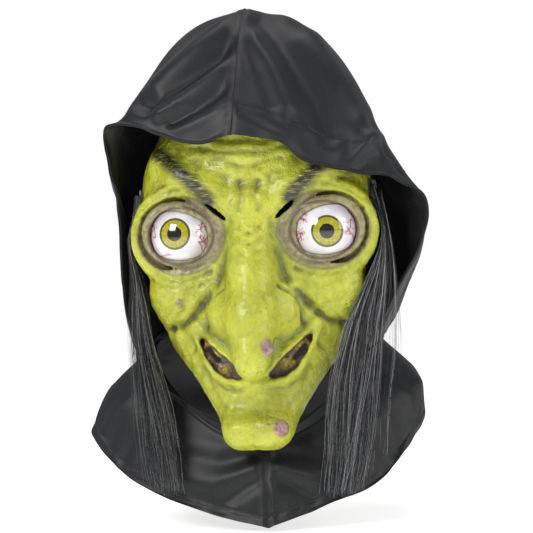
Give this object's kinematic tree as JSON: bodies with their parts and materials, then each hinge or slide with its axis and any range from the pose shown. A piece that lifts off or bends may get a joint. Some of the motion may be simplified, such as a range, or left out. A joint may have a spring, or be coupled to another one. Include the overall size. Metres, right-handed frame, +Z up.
{
  "type": "latex halloween mask",
  "caption": "Over-the-head latex witch mask with bulging eyes, a loose satin hood, a shoulder cape and long loose grey hair at both temples.",
  "frame": {"origin": "middle of the wearer's head, level with the eyes", "axes": "+Z up to the crown, -Y out of the face, +X to the right as seen from in front"},
  "size_m": [0.3404, 0.2809, 0.4951],
  "materials": {
    "green_latex": "semi-matt cast latex",
    "eye_gloss": "gloss",
    "black_satin": "satin sheen",
    "black_tape": "matt",
    "grey_felt": "matt",
    "grey_hair": "silky fibre"
  },
  "bodies": {
    "mask_body": {"latex_face": "green_latex", "left_eye_dome": "eye_gloss", "right_eye_dome": "eye_gloss", "left_hood_panel": "black_satin", "right_hood_panel": "black_satin", "left_brim_hem": "black_satin", "right_brim_hem": "black_satin", "left_neck_seam_tape": "black_tape", "right_neck_seam_tape": "black_tape", "left_cape_panel": "black_satin", "right_cape_panel": "black_satin", "forehead_join_tape": "black_tape", "left_join_tape": "black_tape", "right_join_tape": "black_tape", "left_felt_pad": "grey_felt", "right_felt_pad": "grey_felt", "left_hair_weft": "black_tape", "right_hair_weft": "black_tape"},
    "left_hair": {"left_hair_lock": "grey_hair"},
    "right_hair": {"right_hair_lock": "grey_hair"}
  },
  "joints": [
    {"name": "left_hair_swing", "type": "hinge", "parent": "mask_body", "child": "left_hair", "pos_m": [-0.117, -0.068, 0.038], "axis": [-1, 0, 0], "range_deg": [0, 45]},
    {"name": "right_hair_swing", "type": "hinge", "parent": "mask_body", "child": "right_hair", "pos_m": [0.118, -0.068, 0.038], "axis": [-1, 0, 0], "range_deg": [0, 45]}
  ]
}
